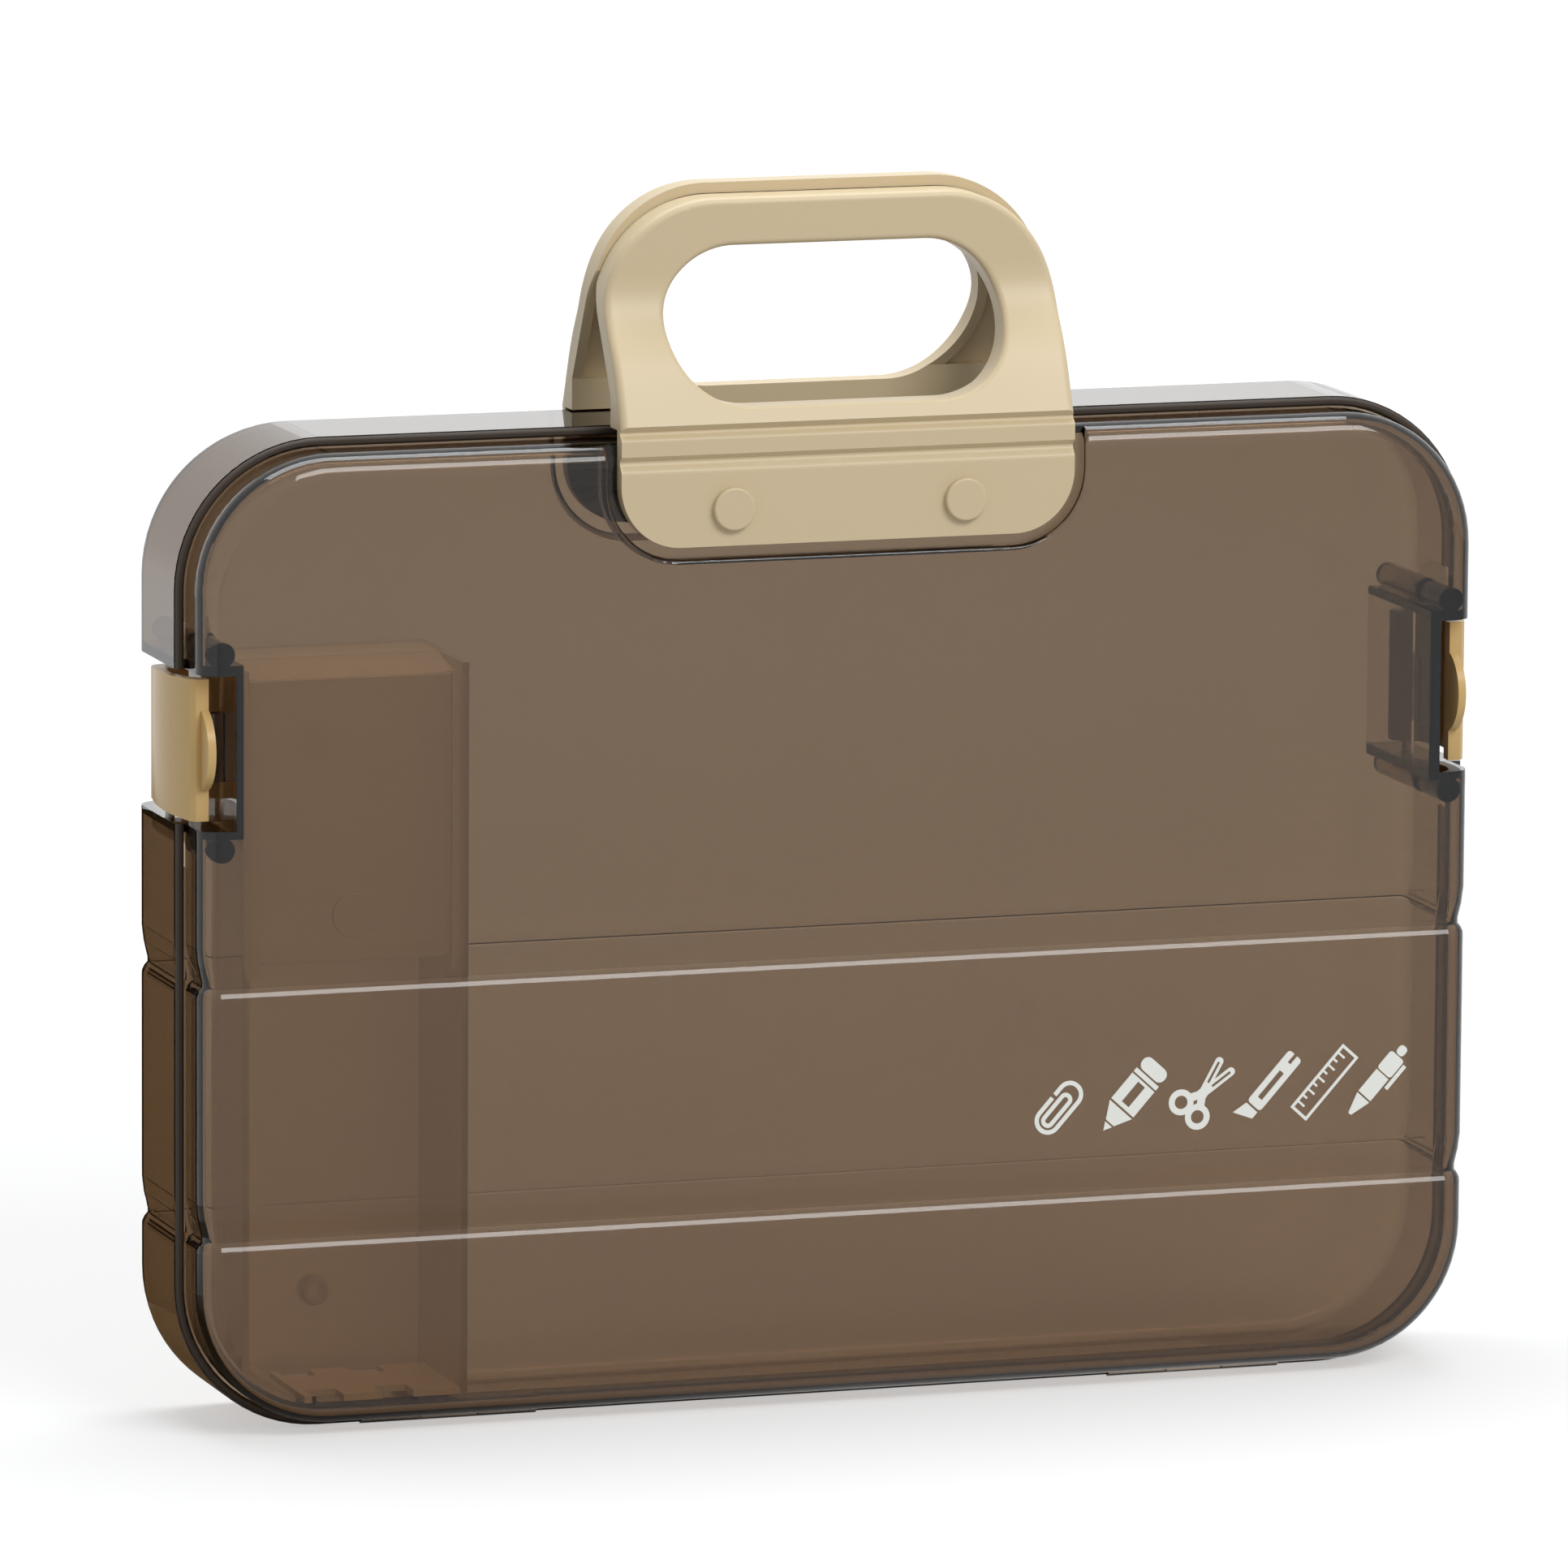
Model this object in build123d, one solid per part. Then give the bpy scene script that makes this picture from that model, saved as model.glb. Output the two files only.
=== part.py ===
from build123d import *
import math
import os

os.makedirs("parts", exist_ok=True)

# Portable file box: two tinted clamshell halves hinged along the bottom seam, a handle on
# each half, a latch on each side, and a pen compartment in the rear half.
# +X right, +Y back, +Z up. Origin: middle of the footprint, on the ground. Millimetres.

# ---- case ----
case_w = 357.0            # rear half, across
case_h = 261.2            # rear half, tall
case_front = -26.0        # front face
case_back = 26.0          # rear face
seam_y = -10.0            # where the two halves meet
seam_gap = 0.15           # each rim stops this far from the seam plane
base_z = 0.4              # underside of the rear half, above the ground
corner_r = 39.0           # corners seen from the front
edge_r = 6.0              # rounding round each big face
wall = 2.6
rim_gap = 0.3             # front skirt runs inside the rear rim
inset_f = wall + rim_gap  # front half is this much smaller all round
skirt = 3.0               # how far the front skirt enters the rear half
skirt_end_x = 160.0       # the skirt stops round each side pocket
skirt_end_z = 12.0
mid_z = base_z + case_h / 2
top_z = base_z + case_h
half_w = case_w / 2
bite = 0.5                # how far a boss or rib runs into the wall that carries it
clear_x = 200.0           # cutting solids reach past everything they cut
clear_y = 60.0

# ---- wrap-round grooves: a pinch with a long slope above it and a short one below ----
groove_z = (120.8, 53.9)
groove_d = 1.5
# flanks of a groove: distance from its deepest line, and how deep it still is there
flank_up = ((0.6, groove_d), (5.0, 0.5), (9.2, 0.0))
flank_down = ((0.6, groove_d), (1.7, 0.6), (2.8, 0.1), (3.6, 0.0))
skirt_room = 0.8             # the rear half's inner ridges start this far behind the front skirt

# ---- handle ----
grip_half = 62.4          # half width of the handle
grip_bottom = 231.0
grip_top = 320.1          # front handle
rear_rise = inset_f       # the rear handle stands this much higher, like its half
grip_corner_low = 16.5
grip_corner_top = 31.0
plate_proud = 0.4         # riveted plate stands this far out of the big face
plate_t = 4.0
rib_crest = (250.4, 259.0)
rib_root = (254.8, 262.4)
rib_d = 1.7
rib_step = 0.9            # height of the undercut above each rib
lean_foot = 263.1         # the grip leans inwards from here
lean_top = 301.0          # and stands upright from here
lean_mid = (-18.0, 281.4)
lean_slope = 0.42         # inwards per unit of height, at its foot
ledge_under = 262.0       # underside of the grip where it passes over the case
ledge_top = 270.2
ledge_face = 16.6         # inner face of the ledge from the middle plane
grip_face = 9.5           # outer face of the grip from the middle plane
grip_inner = 0.25         # inner face of the grip from the middle plane
grip_part = (-4.0, 291.5)  # below this the two handles stand apart
grip_close = 298.0        # above this they lie side by side
grip_round = 2.0          # outer edge of the grip
hole_half_w = 46.4
hole_low = 267.0
hole_high = 307.4
hole_round = 1.6          # outer edge of the hand hole
rim_t = 2.8
skin_t = 2.6
skin_lean = skin_t + 0.6  # the same skin measured level where it leans
rivet_x = 31.9
rivet_z = 240.8
rivet_head_r = 5.65
rivet_head_t = 2.0
rivet_edge = 0.6
rivet_shank_r = 3.0
rivet_tail_r = 4.2
rivet_tail_t = 1.4
washer_r = 5.6
washer_t = 1.2
pocket_gap = 3.3          # between the plate and its pocket in the case
pocket_round = 1.1        # lip of the pocket
tub_t = 1.5               # side wall of the pocket
pocket_d = plate_t - plate_proud
pocket_corner = 20.0

# ---- side pockets and latches ----
side_wall_x = 166.3       # floor of each side pocket
side_low = 161.8
side_high = 202.5
side_t = 2.4
latch_mid = (side_low + side_high) / 2
latch_half_rear = 17.2    # half its height at the knuckle
latch_half_nose = 18.6    # and at the nose
pin_x = 173.0
pin_y = 13.0
pin_over = 1.9            # how far the pin runs into the pocket's ends
latch_pin_r = 1.25
latch_play = 0.05
knuckle_r = 4.9
bow_x = 179.2             # furthest out that the bowed plate reaches
nose_y = -18.5            # front end of the latch body
nose_in = 171.6
nose_x = 175.0
nose_edge = 1.3
tab_out = 173.7
tab_half = 10.5
tab_reach = 7.2
catch_t = 3.6             # catch rib on the floor of the front half's pocket
catch_half = 9.0
catch_y = (-15.5, -12.5)

# ---- bottom hinge ----
barrel_r = 1.7            # the barrels' undersides are level with the ground
axis_z = barrel_r
hinge_pin_r = 0.8
pin_play = 0.06
hinge_x0 = 80.0
knuckle_len = 16.0
knuckle_gap = 0.3
notch_r = barrel_r + 0.4
web_half = 1.0            # web that ties each front knuckle to the front half

# ---- foot ----
foot_half_w = 115.0
foot_y = (8.0, 18.0)

# ---- locating pegs ----
peg_x = 169.5
peg_off = 5.2             # above and below each side pocket
peg_r = 1.9
boss_r = 3.3
boss_end = seam_y - 0.3      # the bosses reach almost to the seam
peg_front = seam_y - 4.0
peg_back = seam_y + 8.0
sleeve_r = 3.4
sleeve_bore = 2.3
sleeve_start = 4.0        # behind the seam

# ---- seal strip ----
seal_out = 0.3            # from the outside of the rear half
seal_in = 2.5
seal_proud = 1.1
seal_round = 0.8
seal_open_x = 135.0       # no seal along the hinge
seal_open_z = 30.0

# ---- pen compartment ----
pen_x0 = -163.0
pen_x1 = -101.7
pen_t = 1.8
pen_front = -19.2
pen_back = 20.8
pen_low = 7.9
pen_top = 202.4
pen_inset = 7.0           # its lower left corner follows the case's, this far in
pen_turn_x = -148.6       # where that corner ends
roof_front = -15.4
roof_flat = 2.0           # the roof is level behind this
lid_low = 125.0
lid_high = 199.6
lid_t = 1.6
lid_y = -17.6             # front face of the lid
rail_w = 4.5
rail_t = 5.4
rail_low = lid_low - 3
slot_in = 2.0             # how deep the lid runs in each rail
slot_play = 0.4
lid_corner = 5.0
knob_r = 6.0
knob_up = 12.0            # middle of the knob above the lid's foot
knob_t = 1.2
knob_edge = 0.4
lid_edge = 0.4
rack_x0 = -146.0
rack_y0 = -19.0
rack_y1 = 14.0
rack_z = 8.4
rack_t = 1.8
rack_gap = 0.05
notch_x = (-139.6, -120.6)
notch_half = 4.3
notch_deep = 8.0
rack_rib_x = (-140.0, -112.0)
rack_rib_half = 1.0
stud_places = ((-132.0, 176.0), (-132.0, 30.0))
stud_r = 2.0
stud_boss_r = 4.0


def prism_y(shape2d, y0, y1):
    """Extrude a sketch drawn in (X, Z) between two Y planes."""
    return extrude(Plane.XZ.offset(-y1) * shape2d, amount=y1 - y0)


def prism_x(shape2d, x0, x1):
    """Extrude a sketch drawn in (Y, Z) between two X planes."""
    return extrude(Plane.YZ.offset(x0) * shape2d, amount=x1 - x0)


def block(x0, x1, y0, y1, z0, z1):
    """Box between two corners."""
    centre = Pos((x0 + x1) / 2, (y0 + y1) / 2, (z0 + z1) / 2)
    return centre * Box(abs(x1 - x0), abs(y1 - y0), abs(z1 - z0))


def rod_y(x, z, r, y0, y1):
    """Round bar along Y."""
    return prism_y(Pos(x, z) * Circle(r), y0, y1)


def rod_x(y, z, r, x0, x1):
    """Round bar along X."""
    return prism_x(Pos(y, z) * Circle(r), x0, x1)


def rod_z(x, y, r, z0, z1):
    """Round bar along Z."""
    return extrude(Plane.XY.offset(z0) * Pos(x, y) * Circle(r), amount=z1 - z0)


def case_form(inset, y0, y1, face_at_back, round_r):
    """Rounded block with the outline of the case, its big face rounded over."""
    outline = Pos(0, mid_z) * RectangleRounded(
        case_w - 2 * inset, case_h - 2 * inset, corner_r - inset)
    body = prism_y(outline, y0, y1)
    ends = body.faces().sort_by(Axis.Y)
    face = ends[-1] if face_at_back else ends[0]
    return fillet(face.edges(), round_r)


def groove_plan(inset, face_y, side, round_r, depth):
    """Plan of one half (X, Y), drawn in by depth; open past the seam."""
    hw = half_w - inset - depth
    far = seam_y - side * clear_y
    deep = face_y - side * depth
    plan = Pos(0, (far + deep) / 2) * Rectangle(2 * hw, abs(deep - far))
    corners = plan.vertices().sort_by(Axis.Y)
    corners = corners[-2:] if side > 0 else corners[:2]
    return fillet(corners, round_r - depth)


def groove_cutter(inset, face_y, side, round_r, near, pinch_z):
    """Band cut round one half from the plane near, deepest at pinch_z."""
    waist = groove_plan(inset, face_y, side, round_r, groove_d)
    core = extrude(Plane.XY.offset(pinch_z - flank_down[0][0]) * waist,
                   amount=flank_down[0][0] + flank_up[0][0])
    for way, flank in ((1, flank_up), (-1, flank_down)):
        for (h0, d0), (h1, d1) in zip(flank, flank[1:]):
            plan = groove_plan(inset, face_y, side, round_r, d0)
            taper = math.degrees(math.atan((d0 - d1) / (h1 - h0)))
            layer = Plane.XY.offset(pinch_z + way * h0) * plan
            core += extrude(layer, amount=h1 - h0, dir=(0, 0, way), taper=-taper)
    slab = block(-clear_x, clear_x, near, face_y + side * 5,
                 pinch_z - flank_down[-1][0], pinch_z + flank_up[-1][0])
    return slab - core


def u_outline(grow):
    """Outline of the handle pocket: straight sides, round lower corners, open top."""
    hw = grip_half + pocket_gap + grow
    low = grip_bottom - pocket_gap - grow
    r = pocket_corner + grow
    high = top_z + clear_y
    body = Pos(0, (low + high) / 2) * Rectangle(2 * hw, high - low)
    return fillet(body.vertices().sort_by(Axis.Y)[:2], r)


def hinge_spans(sign):
    """X spans of the three knuckles of one hinge: rear, front, rear."""
    spans = []
    for k in range(3):
        a = hinge_x0 + k * knuckle_len
        lo = a + (knuckle_gap if k == 1 else 0)
        hi = a + knuckle_len - (knuckle_gap if k == 1 else 0)
        spans.append((min(sign * lo, sign * hi), max(sign * lo, sign * hi)))
    return spans


def make_half(side):
    """One half of the case. side -1 is the front half, +1 the rear half."""
    front = side < 0
    inset = inset_f if front else 0.0
    face = case_front if front else case_back
    if front:
        y0, y1 = case_front, seam_y + skirt
    else:
        y0, y1 = seam_y + seam_gap, case_back
    outer = case_form(inset, y0, y1, not front, edge_r)
    if front:
        hollow = case_form(inset + wall, y0 + wall, clear_y, False, edge_r - wall)
    else:
        hollow = case_form(inset + wall, -clear_y, y1 - wall, True, edge_r - wall)
    # the wall keeps its thickness: each groove is a ridge inside
    ridge_start = seam_y - seam_gap if front else seam_y + skirt + skirt_room
    for g in groove_z:
        hollow -= groove_cutter(inset + wall, face - side * wall, side, edge_r - wall, ridge_start, g)
    body = outer - hollow

    # handle pocket, walled inside
    floor_y = face - side * pocket_d
    back_y = floor_y - side * side_t
    tub = prism_y(u_outline(tub_t), min(face, back_y), max(face, back_y))
    body += tub & outer
    cut_far = side * clear_y
    body -= prism_y(u_outline(0), min(cut_far, floor_y), max(cut_far, floor_y))
    lip = []
    for e in body.edges():
        box = e.bounding_box()
        on_face = abs(box.min.Y - face) < 0.01 and abs(box.max.Y - face) < 0.01
        if on_face and box.min.Z > grip_bottom - pocket_gap - 1 and max(-box.min.X, box.max.X) < 1.2 * grip_half:
            lip.append(e)
    body = fillet(lip, pocket_round)

    # side pockets, walled inside
    for sx in (-1, 1):
        a, b = sx * (side_wall_x - side_t), sx * clear_x
        if front:
            ta, tb = case_front, seam_y - seam_gap
        else:
            ta, tb = seam_y + seam_gap, case_back
        tub = block(a, b, ta, tb, side_low - side_t, side_high + side_t)
        body += tub & outer
        body -= block(sx * side_wall_x, sx * clear_x, -clear_y, clear_y, side_low, side_high)
        if front:
            # the skirt stops short where the pocket walls of both halves meet
            body -= block(sx * skirt_end_x, sx * clear_x, seam_y - seam_gap, clear_y,
                          side_low - skirt_end_z, side_high + skirt_end_z)

    for g in groove_z:
        body -= groove_cutter(inset, face, side, edge_r, seam_y + side * seam_gap, g)

    # rivet holes
    for sx in (-1, 1):
        body -= rod_y(sx * rivet_x, rivet_z, rivet_shank_r,
                      min(face, back_y - side * 2), max(face, back_y - side * 2))

    # pegs' bosses in the front half, their sleeves in the rear half
    for sx in (-1, 1):
        for z in (side_low - peg_off, side_high + peg_off):
            if front:
                inside = case_front + wall
                body += rod_y(sx * peg_x, z, boss_r, inside - bite, boss_end)
                body -= rod_y(sx * peg_x, z, peg_r, peg_front, peg_back)
            else:
                inside = case_back - wall
                body += rod_y(sx * peg_x, z, sleeve_r, seam_y + sleeve_start, inside + bite)
                body -= rod_y(sx * peg_x, z, sleeve_bore, seam_y, inside - 1)
    return body


def add_hinge(body, side):
    """Knuckles of one half, and clearance for the other half's knuckles."""
    front = side < 0
    for sign in (-1, 1):
        spans = hinge_spans(sign)
        own = [spans[1]] if front else [spans[0], spans[2]]
        other = [spans[0], spans[2]] if front else [spans[1]]
        for a, b in other:
            body -= rod_x(seam_y, axis_z, notch_r, a - knuckle_gap, b + knuckle_gap)
        for a, b in own:
            body += rod_x(seam_y, axis_z, barrel_r, a, b)
            if front:
                body += block(a, b, seam_y - web_half, seam_y + web_half,
                              axis_z, base_z + inset_f + wall / 2)
            bore = hinge_pin_r + (pin_play if front else 0.0)
            body -= rod_x(seam_y, axis_z, bore, a - 1, b + 1)
    return body


# ---- rear half ----
rear_shell = make_half(1)
rear_shell = add_hinge(rear_shell, 1)
# long low foot, level with the undersides of the hinge barrels
rear_shell += block(-foot_half_w, foot_half_w, foot_y[0], foot_y[1], 0, base_z + wall / 2)
# two ribs under the pen rack
for rx in rack_rib_x:
    rear_shell += block(rx - rack_rib_half, rx + rack_rib_half, seam_y + skirt + 1, rack_y1,
                        base_z + wall / 2, rack_z)
# studs that carry the pen case
for px, pz in stud_places:
    rear_shell += rod_y(px, pz, stud_boss_r, pen_back, case_back - wall + bite)
    rear_shell -= rod_y(px, pz, stud_r, pen_back - 1, case_back - wall - 0.1)

# ---- front half ----
front_shell = make_half(-1)
front_shell = add_hinge(front_shell, -1)
# low catch rib on the floor of each side pocket
for sx in (-1, 1):
    front_shell += block(sx * (side_wall_x - bite), sx * (side_wall_x + catch_t), catch_y[0], catch_y[1],
                         latch_mid - catch_half, latch_mid + catch_half)


# ---- handles ----
handle_face = case_front - plate_proud


def lean_curve(inwards, rise):
    """Outer line of the grip, from the ribs to its upright top, in (Y, Z)."""
    foot = (handle_face + inwards, lean_foot)
    mid = (lean_mid[0] + inwards, lean_mid[1] + rise / 2)
    top = (-grip_face + inwards, lean_top + rise)
    return Spline(foot, mid, top, tangents=[(lean_slope, 1), (0, 1)])


def grip_profile(rise):
    """Side profile of a front handle in (Y, Z)."""
    top = grip_top + rise
    root = handle_face + rib_d
    inside = [(-grip_face, lean_top + rise), (-grip_face, top), (-grip_inner, top),
              (-grip_inner, grip_close + rise), (grip_part[0], grip_part[1] + rise),
              (-ledge_face, ledge_top), (-ledge_face, ledge_under),
              (handle_face + plate_t, ledge_under), (handle_face + plate_t, grip_bottom),
              (handle_face, grip_bottom)]
    low = grip_bottom
    with BuildSketch(Plane.XY) as sk:
        with BuildLine():
            # flat face, then a soft step inwards, then the undercut of the next face
            for crest, rib_top in zip(rib_crest, rib_root):
                Line((handle_face, low), (handle_face, crest))
                Spline((handle_face, crest), (root, rib_top - rib_step), tangents=[(0, 1), (0, 1)])
                low = lean_foot if rib_top == rib_root[-1] else rib_top + rib_step / 2
                Line((root, rib_top - rib_step), (handle_face, low))
            lean_curve(0, rise)
            Polyline(*inside)
        make_face()
    return sk.sketch


def core_profile(rise):
    """Side profile of the space cored out of a front handle from inside."""
    top = grip_top + rise - rim_t
    with BuildSketch(Plane.XY) as sk:
        with BuildLine():
            lean = lean_curve(skin_lean, rise)
            low = lean @ 0
            high = lean @ 1
            Polyline((high.X, high.Y), (high.X, top), (clear_y, top), (clear_y, low.Y), (low.X, low.Y))
        make_face()
    return sk.sketch


def grip_outline(shrink, rise):
    """Front outline of the handle in (X, Z)."""
    low = grip_bottom + shrink
    high = grip_top + rise - shrink
    body = Pos(0, (low + high) / 2) * Rectangle(2 * (grip_half - shrink), high - low)
    body = fillet(body.vertices().sort_by(Axis.Y)[:2], grip_corner_low - shrink)
    return fillet(body.vertices().sort_by(Axis.Y)[-2:], grip_corner_top - shrink)


def hand_hole(grow, rise):
    """Stadium hole for the fingers in (X, Z)."""
    h = hole_high + rise - hole_low + 2 * grow
    w = 2 * (hole_half_w + grow)
    return Pos(0, (hole_low + hole_high + rise) / 2) * RectangleRounded(w, h, h / 2 - 0.05)


def outer_edges(body, low, high, half):
    """Edges on the outside of the grip between two heights, within half the width."""
    found = []
    for e in body.edges():
        box = e.bounding_box()
        on_face = box.max.Y < 0.01 - grip_face and abs(box.max.Y + ledge_face) > 0.01
        inside = box.min.Z > low - 0.01 and box.max.Z < high + 0.01
        within = box.max.X < half + 0.01 and box.min.X > -half - 0.01
        runs_back = box.size.Z < 0.01 and box.size.Y > 0.1
        if on_face and inside and within and not runs_back:
            found.append(e)
    return found


def make_front_handle(rise):
    """Handle of the front half; rise makes its grip that much taller."""
    top = grip_top + rise
    body = prism_x(grip_profile(rise), -clear_x, clear_x) & prism_y(grip_outline(0, rise), -clear_y, clear_y)
    rim = outer_edges(body, lean_foot, top, grip_half)
    rim = [e for e in rim if e.bounding_box().size.X < 100 or e.center().Z > top - 1]
    body = fillet(rim, grip_round)
    body -= prism_y(hand_hole(0, rise), -clear_y, clear_y)
    body = fillet(outer_edges(body, hole_low, hole_high + rise, hole_half_w), hole_round)
    core = prism_x(core_profile(rise), -clear_x, clear_x) & prism_y(grip_outline(rim_t, rise), -clear_y, clear_y)
    core -= prism_y(hand_hole(rim_t, rise), -clear_y, clear_y)
    core -= block(-clear_x, clear_x, -clear_y, clear_y, 0, ledge_top)
    body -= core
    for sx in (-1, 1):
        body -= rod_y(sx * rivet_x, rivet_z, rivet_shank_r, handle_face - 5, handle_face + plate_t + 1)
    return body


front_handle = make_front_handle(0)
rear_handle = mirror(make_front_handle(rear_rise), about=Plane.XZ)


def make_rivets():
    """Two button rivets through the front handle's plate and the wall behind it."""
    seat = handle_face
    tail_y = case_front + pocket_d + side_t + washer_t
    group = []
    for sx in (-1, 1):
        head = rod_y(sx * rivet_x, rivet_z, rivet_head_r, seat - rivet_head_t, seat)
        head = fillet(head.faces().sort_by(Axis.Y)[0].edges(), rivet_edge)
        shank = rod_y(sx * rivet_x, rivet_z, rivet_shank_r, seat - rivet_edge, tail_y)
        tail = rod_y(sx * rivet_x, rivet_z, rivet_tail_r, tail_y, tail_y + rivet_tail_t)
        tail = chamfer(tail.faces().sort_by(Axis.Y)[-1].edges(), rivet_edge)
        group.append(head + shank + tail)
    return group


def make_washers():
    """Two washers between the rivets' tails and the wall of the front half."""
    wall_in = case_front + pocket_d + side_t
    group = []
    for sx in (-1, 1):
        ring = rod_y(sx * rivet_x, rivet_z, washer_r, wall_in, wall_in + washer_t)
        ring -= rod_y(sx * rivet_x, rivet_z, rivet_shank_r, wall_in - 1, wall_in + 3)
        group.append(ring)
    return group


front_rivets = make_rivets()
rear_rivets = [mirror(s, about=Plane.XZ).solid() for s in front_rivets]
front_washers = make_washers()
rear_washers = [mirror(s, about=Plane.XZ).solid() for s in front_washers]


# ---- latches ----
def make_left_latch():
    """Left latch: bowed plate on a round knuckle, thick nose, half-round thumb tab."""
    heel = (-pin_x - 4.2, pin_y + 2.4)
    toe = (-nose_x - 1.2, nose_y + nose_edge)
    throat = (-nose_x + 0.8, nose_y + 6.4)
    root = (-pin_x - 1.6, pin_y - 3.4)
    with BuildSketch(Plane.XY) as sk:
        with BuildLine():
            ThreePointArc(heel, (-bow_x, 1.0), toe)
            Polyline(toe, (-nose_x, nose_y), (-nose_in, nose_y), (-nose_in, nose_y + 3.4), throat)
            ThreePointArc(throat, (2.6 - bow_x, -1.0), root)
            Polyline(root, (-pin_x, pin_y), heel)
        make_face()
    # the plate is a little taller at its nose than at its knuckle
    back_y = pin_y + knuckle_r
    flare = Polygon((nose_y, -latch_half_nose), (back_y, -latch_half_rear),
                    (back_y, latch_half_rear), (nose_y, latch_half_nose), align=None)
    z0 = latch_mid - latch_half_nose
    plate = extrude(Plane.XY.offset(z0) * sk.sketch, amount=2 * latch_half_nose)
    plate += rod_z(-pin_x, pin_y, knuckle_r, z0, z0 + 2 * latch_half_nose)
    plate &= prism_x(Pos(0, latch_mid) * flare, -clear_x, -side_wall_x)
    r = (tab_half ** 2 + tab_reach ** 2) / (2 * tab_reach)
    tab = prism_x(Pos(nose_y - tab_reach + r, latch_mid) * Circle(r), -tab_out, -nose_in)
    plate += tab & block(-tab_out, -nose_in, -clear_y, nose_y + bite, z0, z0 + 2 * latch_half_nose)
    bore = latch_pin_r + latch_play
    return plate - rod_z(-pin_x, pin_y, bore, z0 - 1, z0 + 2 * latch_half_nose + 1)


left_latch = make_left_latch()
right_latch = mirror(left_latch, about=Plane.YZ)
left_latch_pin = rod_z(-pin_x, pin_y, latch_pin_r, side_low - pin_over, side_high + pin_over)
right_latch_pin = mirror(left_latch_pin, about=Plane.YZ)
for sx in (-1, 1):
    rear_shell -= rod_z(sx * pin_x, pin_y, latch_pin_r, side_low - pin_over, side_high + pin_over)

# ---- bottom hinge pins ----
hinge_pins = []
for sign in (-1, 1):
    ends = sorted((sign * (hinge_x0 + 0.5), sign * (hinge_x0 + 3 * knuckle_len - 0.5)))
    hinge_pins.append(rod_x(seam_y, axis_z, hinge_pin_r, ends[0], ends[1]))

# ---- locating pegs ----
pegs = []
for sx in (-1, 1):
    for z in (side_low - peg_off, side_high + peg_off):
        peg = rod_y(sx * peg_x, z, peg_r, peg_front, peg_back)
        pegs.append(chamfer(peg.faces().sort_by(Axis.Y)[-1].edges(), 0.5))

# ---- seal strip on the rear rim, open along the hinge ----
def rim_outline(inset):
    return Pos(0, mid_z) * RectangleRounded(case_w - 2 * inset, case_h - 2 * inset, corner_r - inset)


rim_seal = prism_y(rim_outline(seal_out) - rim_outline(seal_in), seam_y - seal_proud, seam_y + seam_gap)
rim_seal = fillet(rim_seal.faces().sort_by(Axis.Y)[0].edges(), seal_round)
rim_seal -= block(-seal_open_x, seal_open_x, -clear_y, clear_y, 0, seal_open_z)
for sx in (-1, 1):
    rim_seal -= block(sx * side_wall_x, sx * clear_x, -clear_y, clear_y, side_low, side_high)

# ---- pen compartment ----
def pen_outline(inset, low, high):
    """Outline in (X, Z): straight sides, lower left corner parallel to the case's."""
    left = pen_x0 + inset
    right = pen_x1 - inset
    field = Pos((left + right) / 2, (low + high) / 2) * Rectangle(right - left, high - low)
    return rim_outline(pen_inset + inset) & field


inner_x1 = pen_x1 - pen_t
pen_walls = pen_outline(0, pen_low, pen_top) - pen_outline(pen_t, 0, top_z)
pen_foot = Pos((pen_turn_x + inner_x1) / 2, pen_low) * Rectangle(inner_x1 - pen_turn_x, 4 * pen_t)
pen_walls -= pen_foot
pen_case = prism_y(pen_walls, pen_front, pen_back)
pen_case += prism_y(pen_outline(0, pen_low, pen_top), pen_back - pen_t, pen_back)
# roof sloping up towards the back, hung between the two walls
roof_edge = lid_high - slot_play
with BuildSketch(Plane.XY) as roof:
    with BuildLine():
        Polyline((roof_front, roof_edge), (roof_flat, pen_top), (pen_back, pen_top),
                 (pen_back, pen_top - pen_t), (roof_flat, pen_top - pen_t),
                 (roof_front, roof_edge - pen_t), (roof_front, roof_edge))
    make_face()
pen_case += prism_x(roof.sketch, pen_x0, pen_x1)
# rails with a slot for the lid
for a, b in ((pen_x0, pen_x0 + rail_w), (pen_x1 - rail_w, pen_x1)):
    pen_case += block(a, b, pen_front, pen_front + rail_t, rail_low, lid_high)
lid_x0 = pen_x0 + rail_w - slot_in
lid_x1 = pen_x1 - rail_w + slot_in
pen_case -= block(lid_x0 - slot_play, lid_x1 + slot_play, lid_y - slot_play, lid_y + lid_t + slot_play,
                  lid_low - slot_play, top_z)
for px, pz in stud_places:
    pen_case -= rod_y(px, pz, stud_r, pen_back - 5, pen_back + 5)

# lid that slides up, with a low round finger knob near its foot
lid_mid_x = (lid_x0 + lid_x1) / 2
lid_shape = Pos(lid_mid_x, (lid_low + lid_high) / 2) * Rectangle(lid_x1 - lid_x0, lid_high - lid_low)
lid_shape = fillet(lid_shape.vertices().sort_by(Axis.Y)[:2], lid_corner)
pen_lid = prism_y(lid_shape, lid_y, lid_y + lid_t)
pen_lid = fillet(pen_lid.faces().sort_by(Axis.Y)[0].edges(), lid_edge)
knob = rod_y(lid_mid_x, lid_low + knob_up, knob_r, lid_y - knob_t, lid_y + lid_t / 2)
pen_lid += fillet(knob.faces().sort_by(Axis.Y)[0].edges(), knob_edge)

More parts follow.
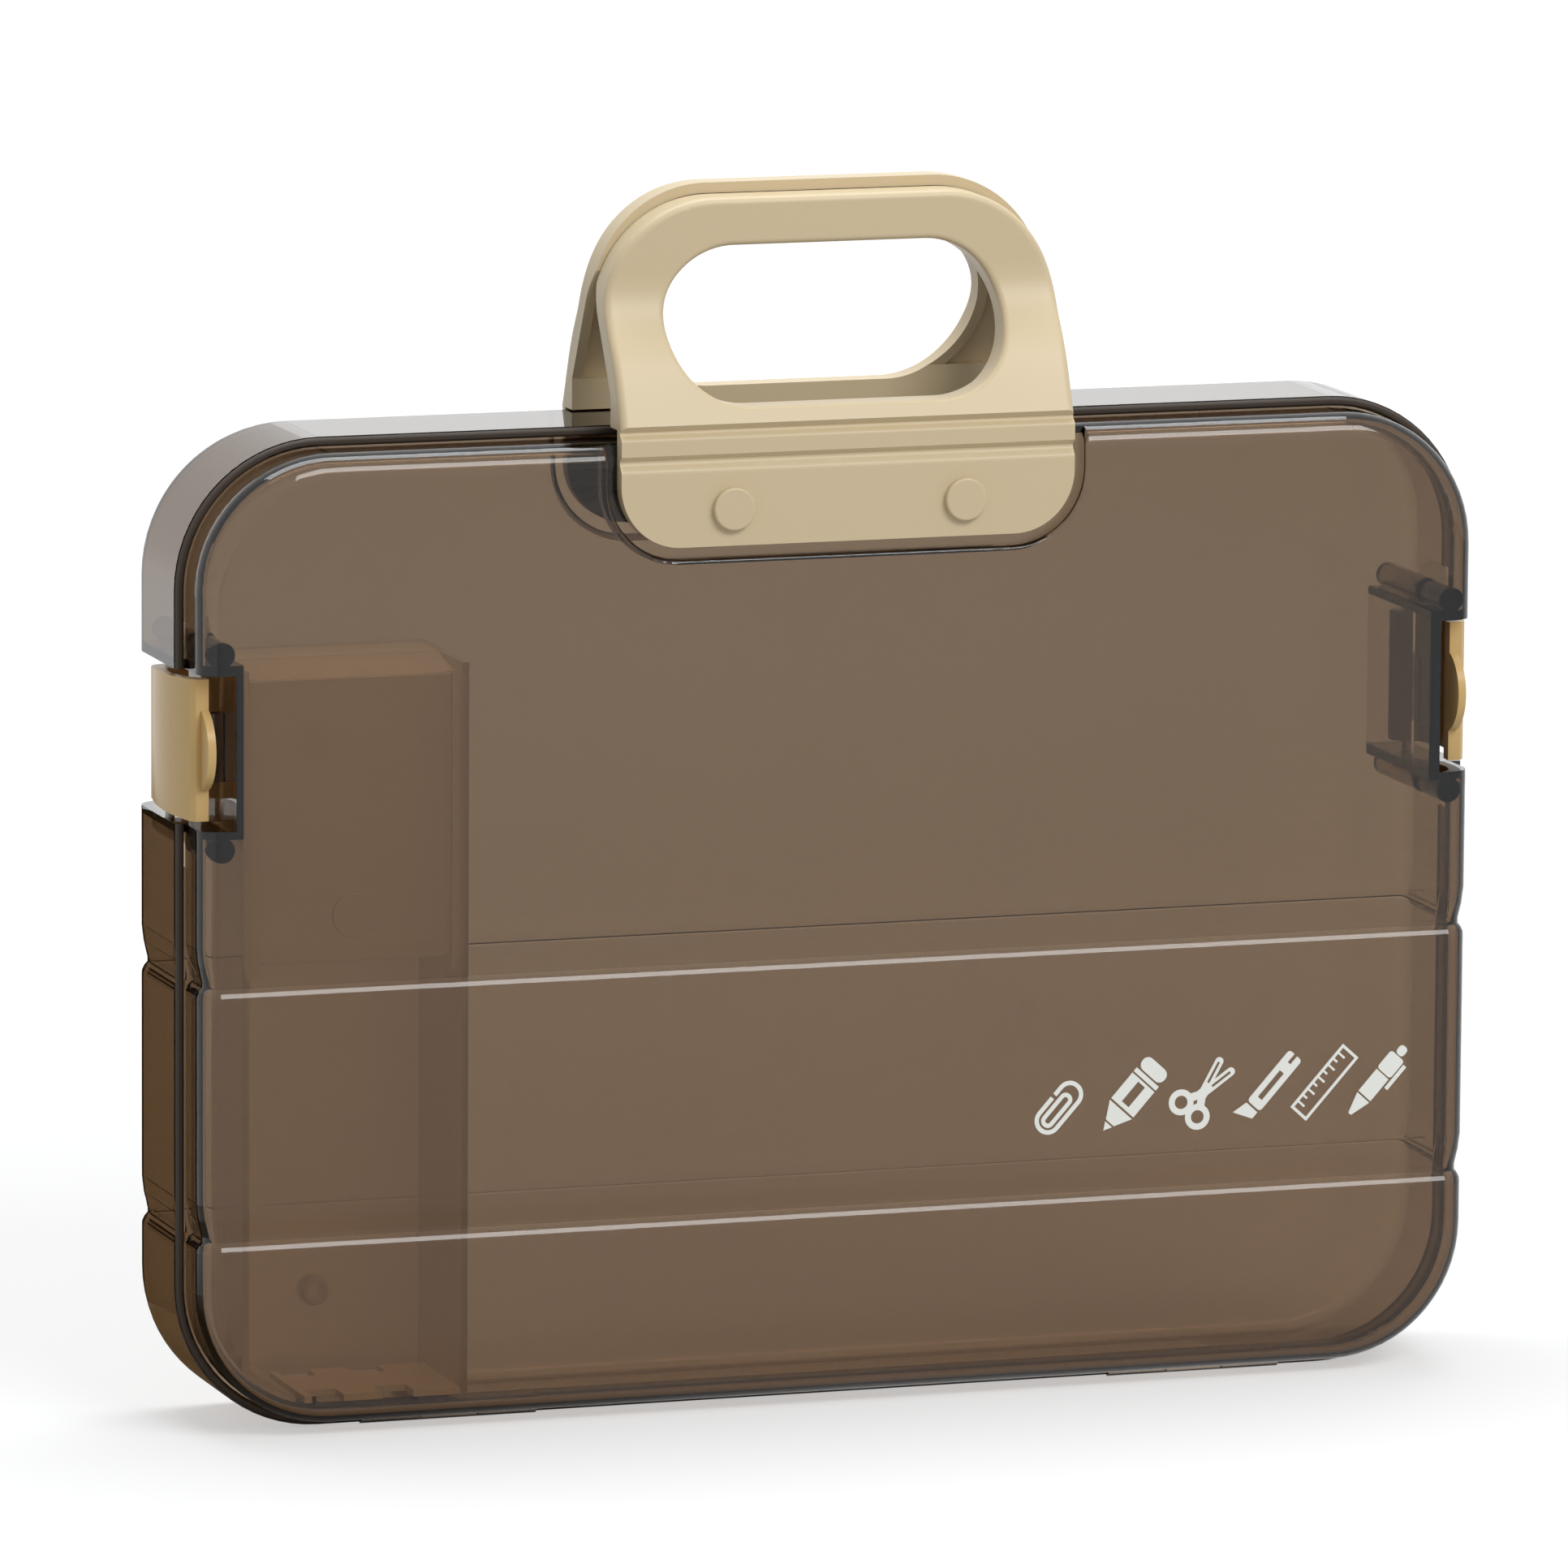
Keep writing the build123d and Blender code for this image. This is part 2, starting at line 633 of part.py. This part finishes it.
# notched rack that the pens stand on
pen_rack = block(rack_x0, inner_x1 - rack_gap, rack_y0, rack_y1, rack_z, rack_z + rack_t)
for nx in notch_x:
    for ny in (rack_y0, rack_y1):
        pen_rack -= block(nx - notch_half, nx + notch_half, ny - notch_deep, ny + notch_deep,
                          rack_z - 1, rack_z + rack_t + 1)

# pegs that hold the pen case on its studs
case_pegs = []
peg_head_y = pen_back - pen_t
for px, pz in stud_places:
    head = rod_y(px, pz, stud_boss_r - 0.4, peg_head_y - 1.2, peg_head_y)
    head = chamfer(head.faces().sort_by(Axis.Y)[0].edges(), 0.4)
    case_pegs.append(head + rod_y(px, pz, stud_r, peg_head_y - 0.2, case_back - wall - 0.4))


# ---- printed pictograms on the front face ----
ink_t = 0.12


def tilted(shape2d, cx, cz):
    """Place a pictogram drawn upright at its spot, leaning to the right."""
    return Pos(cx, cz) * (Rot(0, 0, -42) * shape2d)


def bar(x0, z0, x1, z1):
    """Flat bar between two corners."""
    return Pos((x0 + x1) / 2, (z0 + z1) / 2) * Rectangle(abs(x1 - x0), abs(z1 - z0))


def clip_sign():
    outer = RectangleRounded(7.6, 16.4, 3.7) - RectangleRounded(5.2, 14.0, 2.5)
    loop = Pos(0, -0.9) * (RectangleRounded(3.8, 11.0, 1.8) - RectangleRounded(1.5, 8.7, 0.7))
    wire_end = bar(-4.0, 0.8, -2.0, 1.8)
    return [outer - wire_end, loop]


def pencil_sign():
    eraser = Pos(0, 9.1) * RectangleRounded(8.4, 4.0, 1.9)
    band = bar(-4.2, 5.3, 4.2, 6.6)
    body = bar(-4.2, -4.0, 4.2, 4.8) - bar(-1.3, -2.8, 1.3, 4.0)
    cone = Polygon((-4.2, -4.6), (-1.5, -9.2), (1.5, -9.2), (4.2, -4.6), align=None)
    tip = Polygon((-1.3, -9.7), (0, -11.9), (1.3, -9.7), align=None)
    return [eraser, band, body, cone, tip]


def scissors_sign():
    cross = Pos(0, 0) * Circle(1.5)
    for s in (-1, 1):
        blade = bar(-1.15, -1.0, 1.15, 9.8) + Pos(0, 9.8) * Circle(1.15)
        blade -= bar(-0.35, 3.4, 0.35, 9.6)
        cross += Rot(0, 0, s * 13) * blade
        cross += Pos(s * 3.1, -5.4) * (Circle(3.5) - Circle(1.8))
        cross += Rot(0, 0, -s * 34) * bar(-1.1, -3.4, 1.1, 0.5)
    return [cross]


def knife_sign():
    body = Pos(0, 2.2) * RectangleRounded(4.8, 17.6, 1.0)
    body -= bar(-0.75, -4.0, 0.75, 5.2)
    body -= bar(-0.5, 8.2, 0.5, 11.2)
    blade = Polygon((-2.2, -7.2), (-3.4, -11.6), (2.0, -9.4), (2.0, -7.2), align=None)
    return [body, blade]


def ruler_sign():
    body = bar(-3.0, -11.0, 3.0, 11.0) - bar(-2.2, -10.2, 2.2, 10.2)
    for k in range(9):
        z = -8.4 + 2.1 * k
        reach = 2.5 if k % 2 == 0 else 1.6
        body += bar(-2.5, z - 0.3, -2.5 + reach, z + 0.3)
    return [body]


def pen_sign():
    barrel = bar(-2.3, -4.6, 2.3, 3.0)
    cap = Pos(0, 6.4) * RectangleRounded(5.0, 6.0, 0.9)
    knob = Pos(0, 11.1) * RectangleRounded(2.6, 2.8, 1.0)
    tip = Polygon((-2.3, -5.1), (-0.5, -10.8), (0.5, -10.8), (2.3, -5.1), align=None)
    clip = bar(2.9, 0.6, 4.0, 8.6)
    return [barrel, cap, knob, tip, clip]


signs = (
    (clip_sign, 59.9, 76.9),
    (pencil_sign, 80.4, 78.9),
    (scissors_sign, 100.2, 78.4),
    (knife_sign, 119.2, 79.3),
    (ruler_sign, 134.8, 79.7),
    (pen_sign, 149.3, 78.8),
)
pictograms = []
for make_sign, sx, sz in signs:
    for piece in make_sign():
        ink = prism_y(tilted(piece, sx, sz), case_front - ink_t, case_front)
        pictograms.extend(ink.solids())

nodes = {
    "rear_shell": rear_shell,
    "front_shell": front_shell,
    "rear_handle": rear_handle,
    "front_handle": front_handle,
    "rear_handle_rivets": Compound(rear_rivets),
    "front_handle_rivets": Compound(front_rivets),
    "rear_rivet_washers": Compound(rear_washers),
    "front_rivet_washers": Compound(front_washers),
    "left_latch": left_latch,
    "right_latch": right_latch,
    "left_latch_pin": left_latch_pin,
    "right_latch_pin": right_latch_pin,
    "hinge_pins": Compound(hinge_pins),
    "locating_pegs": Compound(pegs),
    "rim_seal": rim_seal,
    "pen_case": pen_case,
    "pen_lid": pen_lid,
    "pen_rack": pen_rack,
    "pen_case_pegs": Compound(case_pegs),
    "pictogram_print": Compound(pictograms),
}
for name, shape in nodes.items():
    export_step(shape, f"parts/{name}.step")
    box = shape.bounding_box()
    print(name, len(shape.solids()), round(shape.volume, 1),
          [round(v, 2) for v in (box.min.X, box.min.Y, box.min.Z, box.max.X, box.max.Y, box.max.Z)])
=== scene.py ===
import math

import bpy
from mathutils import Matrix, Vector

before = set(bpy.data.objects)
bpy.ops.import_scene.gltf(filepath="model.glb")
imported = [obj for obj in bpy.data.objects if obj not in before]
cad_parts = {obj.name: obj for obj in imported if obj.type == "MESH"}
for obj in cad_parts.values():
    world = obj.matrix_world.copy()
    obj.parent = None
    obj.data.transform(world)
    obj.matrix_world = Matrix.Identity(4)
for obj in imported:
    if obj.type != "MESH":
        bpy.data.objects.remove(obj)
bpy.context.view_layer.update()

# ---- camera: long lens, seen from the front, the object's left and a little above ----
CAM_SIDE = math.radians(18.5)
CAM_RISE = math.radians(9.6)
CAM_ROLL = math.radians(0.39)
CAM_AWAY = 3.693
CAM_LENS = 322.7
CAM_AIM = Vector((-0.01194, -0.010, 0.16445))
SENSOR = 36.0

# ---- stage, in metres ----
MIDDLE = Vector((0.0, 0.0, 0.15))       # the lamps face this point inside the case
FLOOR_HALF = 15.0
LIFT_FROM, LIFT_TO = 0.4, 2.2           # the floor gets paler between these distances
FADE_FROM, FADE_TO = 0.05, 0.22         # a fading card goes out between these distances
MAT_LEVEL = 0.0003                      # cards on the floor lie this far above it

# ---- colours, linear; densities per metre ----
TINT_TOP = (0.97, 0.97, 0.96)
TINT_FOOT = (0.96, 0.91, 0.84)
SMOKE = (0.44, 0.30, 0.13)
SMOKE_DENSITY = 580.0
INSERT = (0.95, 0.90, 0.80)
INSERT_SMOKE = (0.80, 0.68, 0.50)
INSERT_DENSITY = 25.0
BEIGE = (0.615, 0.50, 0.32)
# latch plastic: a warmer beige than the handle, made more saturated still as a painted warm reflection
# like the one its shaded left side shows
LATCH_WITH_WARM_REFLECTION = (0.60, 0.405, 0.165)
STEEL = (0.56, 0.55, 0.53)
PEG = (0.020, 0.016, 0.014)
SEAL = (0.030, 0.018, 0.010)
INK = (0.86, 0.87, 0.82)
PLASTIC_IOR = 1.49
FLOOR = 0.48
LIFT_NEAR = 0.48
LIFT_FAR = 0.80
CARD = (0.12, 0.075, 0.035)
MAT = (0.70, 0.71, 0.72)


class Nodes:
    """Short calls for a material's node tree."""

    def __init__(self, name):
        self.mat = bpy.data.materials.new(name)
        self.mat.use_nodes = True
        self.tree = self.mat.node_tree
        self.tree.nodes.clear()
        self.out = self.tree.nodes.new("ShaderNodeOutputMaterial")

    def add(self, kind, **values):
        node = self.tree.nodes.new(kind)
        for key, value in values.items():
            setattr(node, key, value)
        return node

    def link(self, a, b):
        self.tree.links.new(a, b)

    def noise(self, scale, detail=3.0, stretch=(1, 1, 1)):
        """Noise in the object's own metres, 0 to 1."""
        coord = self.add("ShaderNodeTexCoord")
        place = self.add("ShaderNodeMapping")
        place.inputs["Scale"].default_value = stretch
        self.link(coord.outputs["Object"], place.inputs["Vector"])
        noise = self.add("ShaderNodeTexNoise")
        noise.inputs["Scale"].default_value = scale
        noise.inputs["Detail"].default_value = detail
        self.link(place.outputs["Vector"], noise.inputs["Vector"])
        return noise.outputs["Fac"]

    def height(self, low, high):
        """0 at height low, 1 at height high, in metres."""
        coord = self.add("ShaderNodeTexCoord")
        split = self.add("ShaderNodeSeparateXYZ")
        self.link(coord.outputs["Object"], split.inputs["Vector"])
        return self.remap(split.outputs["Z"], low, high, 0.0, 1.0)

    def remap(self, socket, a, b, c, d):
        node = self.add("ShaderNodeMapRange")
        node.inputs["From Min"].default_value = a
        node.inputs["From Max"].default_value = b
        node.inputs["To Min"].default_value = c
        node.inputs["To Max"].default_value = d
        self.link(socket, node.inputs["Value"])
        return node.outputs["Result"]

    def mix(self, factor, a, b, mode="MIX"):
        """Mixes two colours; each is a tuple or a socket."""
        node = self.add("ShaderNodeMix", data_type="RGBA", blend_type=mode)
        if isinstance(factor, float):
            node.inputs[0].default_value = factor
        else:
            self.link(factor, node.inputs[0])
        for slot, value in ((6, a), (7, b)):
            if isinstance(value, tuple):
                node.inputs[slot].default_value = (*value, 1.0)
            else:
                self.link(value, node.inputs[slot])
        return node.outputs[2]

    def bump(self, socket, strength, distance):
        node = self.add("ShaderNodeBump")
        node.inputs["Strength"].default_value = strength
        node.inputs["Distance"].default_value = distance
        self.link(socket, node.inputs["Height"])
        return node.outputs["Normal"]

    def principled(self):
        node = self.add("ShaderNodeBsdfPrincipled")
        self.link(node.outputs["BSDF"], self.out.inputs["Surface"])
        return node


def let_lamps_through(n, shader):
    """Lamps shine through the surface instead of being shut out; what is inside tints them."""
    ray = n.add("ShaderNodeLightPath")
    clear = n.add("ShaderNodeBsdfTransparent")
    swap = n.add("ShaderNodeMixShader")
    n.link(ray.outputs["Is Shadow Ray"], swap.inputs["Fac"])
    n.link(shader.outputs["BSDF"], swap.inputs[1])
    n.link(clear.outputs["BSDF"], swap.inputs[2])
    n.link(swap.outputs["Shader"], n.out.inputs["Surface"])


def fill_with(n, colour, density):
    """Even absorption inside the plastic, in parts per metre."""
    inside = n.add("ShaderNodeVolumeAbsorption")
    inside.inputs["Color"].default_value = (*colour, 1.0)
    inside.inputs["Density"].default_value = density
    n.link(inside.outputs["Volume"], n.out.inputs["Volume"])


def tinted_plastic():
    """Clear smoky brown styrene: glossy, warmer towards the foot, faintly handled."""
    n = Nodes("tinted_plastic")
    shader = n.principled()
    colour = n.mix(n.height(0.02, 0.20), TINT_FOOT, TINT_TOP)
    flow = n.remap(n.noise(6.0, 2.0, (1.0, 1.0, 0.4)), 0.3, 0.7, 0.95, 1.0)
    grey = n.add("ShaderNodeCombineColor")
    for channel in ("Red", "Green", "Blue"):
        n.link(flow, grey.inputs[channel])
    colour = n.mix(1.0, colour, grey.outputs["Color"], "MULTIPLY")
    n.link(colour, shader.inputs["Base Color"])
    n.link(n.remap(n.noise(40.0, 4.0), 0.35, 0.75, 0.0, 0.03), shader.inputs["Roughness"])
    shader.inputs["Transmission Weight"].default_value = 1.0
    shader.inputs["IOR"].default_value = PLASTIC_IOR
    let_lamps_through(n, shader)
    fill_with(n, SMOKE, SMOKE_DENSITY)
    return n.mat


def insert_plastic(name, clear):
    """Pale beige plastic of the pen compartment; clear is the share of light that passes."""
    n = Nodes(name)
    shader = n.principled()
    colour = n.mix(n.noise(18.0, 3.0), INSERT, tuple(c * 0.97 for c in INSERT))
    n.link(colour, shader.inputs["Base Color"])
    n.link(n.remap(n.noise(90.0, 2.0), 0.3, 0.7, 0.01, 0.04), shader.inputs["Roughness"])
    shader.inputs["Transmission Weight"].default_value = clear
    shader.inputs["IOR"].default_value = PLASTIC_IOR
    let_lamps_through(n, shader)
    fill_with(n, INSERT_SMOKE, INSERT_DENSITY)
    return n.mat


def moulded_plastic(name, colour, rough, gloss=0.5):
    """Opaque satin plastic with a fine moulded grain and slightly uneven colour."""
    n = Nodes(name)
    shader = n.principled()
    darker = tuple(c * 0.98 for c in colour)
    paler = tuple(min(c * 1.02, 1) for c in colour)
    n.link(n.mix(n.noise(9.0, 1.0), darker, paler), shader.inputs["Base Color"])
    n.link(n.remap(n.noise(14.0, 2.0), 0.3, 0.7, rough - 0.02, rough + 0.02), shader.inputs["Roughness"])
    n.link(n.bump(n.noise(2600.0, 2.0), 0.06, 0.0001), shader.inputs["Normal"])
    shader.inputs["Specular IOR Level"].default_value = gloss
    return n.mat


def steel():
    """Plain drawn steel of the pins and washers."""
    n = Nodes("steel")
    shader = n.principled()
    n.link(n.mix(n.noise(300.0, 3.0), STEEL, tuple(c * 0.9 for c in STEEL)), shader.inputs["Base Color"])
    shader.inputs["Metallic"].default_value = 1.0
    n.link(n.remap(n.noise(800.0, 2.0), 0.3, 0.7, 0.22, 0.34), shader.inputs["Roughness"])
    return n.mat


materials = {
    "tinted_plastic": tinted_plastic(),
    "insert_plastic": insert_plastic("insert_plastic", 0.64),
    "rack_plastic": insert_plastic("rack_plastic", 0.30),
    "beige_plastic": moulded_plastic("beige_plastic", BEIGE, 0.38, 0.35),
    # the latch colour holds its own warmer beige plus a painted warm reflection
    "latch_plastic": moulded_plastic("latch_plastic", LATCH_WITH_WARM_REFLECTION, 0.28, 0.25),
    "steel": steel(),
    "dark_peg": moulded_plastic("dark_peg", PEG, 0.22),
    "seal_rubber": moulded_plastic("seal_rubber", SEAL, 0.60),
    "white_ink": moulded_plastic("white_ink", INK, 0.5),
}

dress = {
    "rear_shell": "tinted_plastic",
    "front_shell": "tinted_plastic",
    "rear_handle": "beige_plastic",
    "front_handle": "beige_plastic",
    "rear_handle_rivets": "beige_plastic",
    "front_handle_rivets": "beige_plastic",
    "rear_rivet_washers": "steel",
    "front_rivet_washers": "steel",
    "left_latch": "latch_plastic",
    "right_latch": "latch_plastic",
    "left_latch_pin": "steel",
    "right_latch_pin": "steel",
    "hinge_pins": "steel",
    "locating_pegs": "dark_peg",
    "rim_seal": "seal_rubber",
    "pen_case": "insert_plastic",
    "pen_lid": "insert_plastic",
    "pen_rack": "rack_plastic",
    "pen_case_pegs": "insert_plastic",
    "pictogram_print": "white_ink",
}
for node_name, finish in dress.items():
    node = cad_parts[node_name]
    node.data.materials.clear()
    node.data.materials.append(materials[finish])


# ---- floor, light and camera ----
def seen_directly(n):
    """1 for rays that show the floor or world to the camera, also by way of gloss or glass."""
    ray = n.add("ShaderNodeLightPath")
    total = ray.outputs["Is Camera Ray"]
    for name in ("Is Glossy Ray", "Is Transmission Ray"):
        most = n.add("ShaderNodeMath", operation="MAXIMUM")
        n.link(total, most.inputs[0])
        n.link(ray.outputs[name], most.inputs[1])
        total = most.outputs[0]
    return total


def sheet_of(name, corners):
    """Flat four-cornered object."""
    mesh = bpy.data.meshes.new(name)
    mesh.from_pydata(corners, [], [(0, 1, 2, 3)])
    sheet = bpy.data.objects.new(name, mesh)
    bpy.context.scene.collection.objects.link(sheet)
    return sheet


def make_floor():
    """Plain grey floor that keeps the case's shadow and is seen as white further away."""
    half = FLOOR_HALF
    floor = sheet_of("floor", [(-half, -half, 0), (half, -half, 0), (half, half, 0), (-half, half, 0)])
    n = Nodes("floor")
    plain = n.add("ShaderNodeBsdfDiffuse")
    plain.inputs["Color"].default_value = (FLOOR, FLOOR, FLOOR, 1)
    lift = n.add("ShaderNodeEmission")
    coord = n.add("ShaderNodeTexCoord")
    away = n.add("ShaderNodeVectorMath", operation="LENGTH")
    n.link(coord.outputs["Object"], away.inputs[0])
    strength = n.add("ShaderNodeMath", operation="MULTIPLY")
    n.link(seen_directly(n), strength.inputs[0])
    n.link(n.remap(away.outputs["Value"], LIFT_FROM, LIFT_TO, LIFT_NEAR, LIFT_FAR), strength.inputs[1])
    n.link(strength.outputs[0], lift.inputs["Strength"])
    both = n.add("ShaderNodeAddShader")
    n.link(plain.outputs["BSDF"], both.inputs[0])
    n.link(lift.outputs["Emission"], both.inputs[1])
    n.link(both.outputs["Shader"], n.out.inputs["Surface"])
    floor.data.materials.append(n.mat)


def card(name, corners, colour, middle=None):
    """Plain card that shows only in gloss; with a middle, it fades out away from it."""
    sheet = sheet_of(name, corners)
    sheet.visible_camera = False
    sheet.visible_diffuse = False
    sheet.visible_transmission = False
    sheet.visible_shadow = False
    n = Nodes(name)
    plain = n.add("ShaderNodeBsdfDiffuse")
    plain.inputs["Color"].default_value = (*colour, 1)
    surface = plain.outputs["BSDF"]
    if middle:
        coord = n.add("ShaderNodeTexCoord")
        away = n.add("ShaderNodeVectorMath", operation="DISTANCE")
        away.inputs[1].default_value = middle
        n.link(coord.outputs["Object"], away.inputs[0])
        fade = n.add("ShaderNodeMixShader")
        n.link(n.remap(away.outputs["Value"], FADE_FROM, FADE_TO, 0.0, 1.0), fade.inputs[0])
        n.link(plain.outputs["BSDF"], fade.inputs[1])
        n.link(n.add("ShaderNodeBsdfTransparent").outputs["BSDF"], fade.inputs[2])
        surface = fade.outputs["Shader"]
    n.link(surface, n.out.inputs["Surface"])
    sheet.data.materials.append(n.mat)


def side_card(name, across, near, far, top):
    """Card standing beside the case, along the view."""
    aim = Vector((math.sin(CAM_SIDE), math.cos(CAM_SIDE), 0))
    side = Vector((math.cos(CAM_SIDE), -math.sin(CAM_SIDE), 0)) * across
    corners = [side + aim * near, side + aim * far]
    corners += [c + Vector((0, 0, top)) for c in reversed(corners)]
    card(name, corners, CARD)


def floor_card(name, x0, x1, y0, y1, colour, middle=None):
    """Card lying on the floor."""
    z = MAT_LEVEL
    card(name, [(x0, y0, z), (x1, y0, z), (x1, y1, z), (x0, y1, z)], colour, middle)


def make_world(plain, shown):
    """White world: plain is the light it gives, shown is how bright it is seen."""
    world = bpy.data.worlds.new("studio")
    bpy.context.scene.world = world
    world.use_nodes = True
    n = Nodes.__new__(Nodes)
    n.tree = world.node_tree
    n.tree.nodes.clear()
    out = n.add("ShaderNodeOutputWorld")
    back = n.add("ShaderNodeBackground")
    back.inputs["Color"].default_value = (1, 1, 1, 1)
    n.link(n.remap(seen_directly(n), 0, 1, plain, shown), back.inputs["Strength"])
    n.link(back.outputs["Background"], out.inputs["Surface"])


def make_camera():
    back = Vector((-math.sin(CAM_SIDE) * math.cos(CAM_RISE),
                   -math.cos(CAM_SIDE) * math.cos(CAM_RISE),
                   math.sin(CAM_RISE)))
    flat = Vector((math.cos(CAM_SIDE), -math.sin(CAM_SIDE), 0))
    rise = back.cross(flat)
    right = flat * math.cos(CAM_ROLL) + rise * math.sin(CAM_ROLL)
    up = rise * math.cos(CAM_ROLL) - flat * math.sin(CAM_ROLL)
    data = bpy.data.cameras.new("camera")
    data.lens = CAM_LENS
    data.sensor_width = SENSOR
    camera = bpy.data.objects.new("camera", data)
    bpy.context.scene.collection.objects.link(camera)
    place = CAM_AIM + back * CAM_AWAY
    camera.matrix_world = Matrix((
        (right.x, up.x, back.x, place.x),
        (right.y, up.y, back.y, place.y),
        (right.z, up.z, back.z, place.z),
        (0, 0, 0, 1)))
    bpy.context.scene.camera = camera


def lamp_at(name, side, rise, away, size, watts, colour=(1, 1, 1)):
    """Softbox towards the middle of the case; side and rise in degrees, 0 is the front."""
    side = math.radians(side)
    rise = math.radians(rise)
    way = Vector((math.sin(side) * math.cos(rise), -math.cos(side) * math.cos(rise), math.sin(rise)))
    data = bpy.data.lights.new(name, "AREA")
    data.shape = "RECTANGLE"
    data.size, data.size_y = size
    data.energy = watts
    data.color = colour
    lamp = bpy.data.objects.new(name, data)
    bpy.context.scene.collection.objects.link(lamp)
    place = MIDDLE + way * away
    lamp.location = place
    lamp.rotation_euler = (MIDDLE - place).to_track_quat("-Z", "Y").to_euler()


make_floor()
# what the glossy left side, its lower corner and the front face mirror
side_card("left_card", -0.215, -0.035, 0.30, 0.149)
floor_card("foot_mat", -0.42, 0.05, -0.03, 0.30, CARD, (-0.20, 0.05, 0.0))
floor_card("front_mat", -0.6, 2.2, -2.6, -0.06, MAT)
make_world(plain=0.45, shown=1.0)
lamp_at("key", 19.0, 40.0, 2.2, (1.35, 0.80), 25.0)
lamp_at("top", 180.0, 78.0, 1.7, (1.5, 0.7), 20.0, (0.95, 0.98, 1.0))
lamp_at("back", 161.5, 10.0, 2.2, (1.6, 0.35), 0.6, (0.90, 0.97, 1.0))
make_camera()
scene = bpy.context.scene
scene.view_settings.view_transform = "Standard"
# room for light to pass the many clear walls
scene.cycles.max_bounces = 32
scene.cycles.transmission_bounces = 32
scene.cycles.transparent_max_bounces = 32
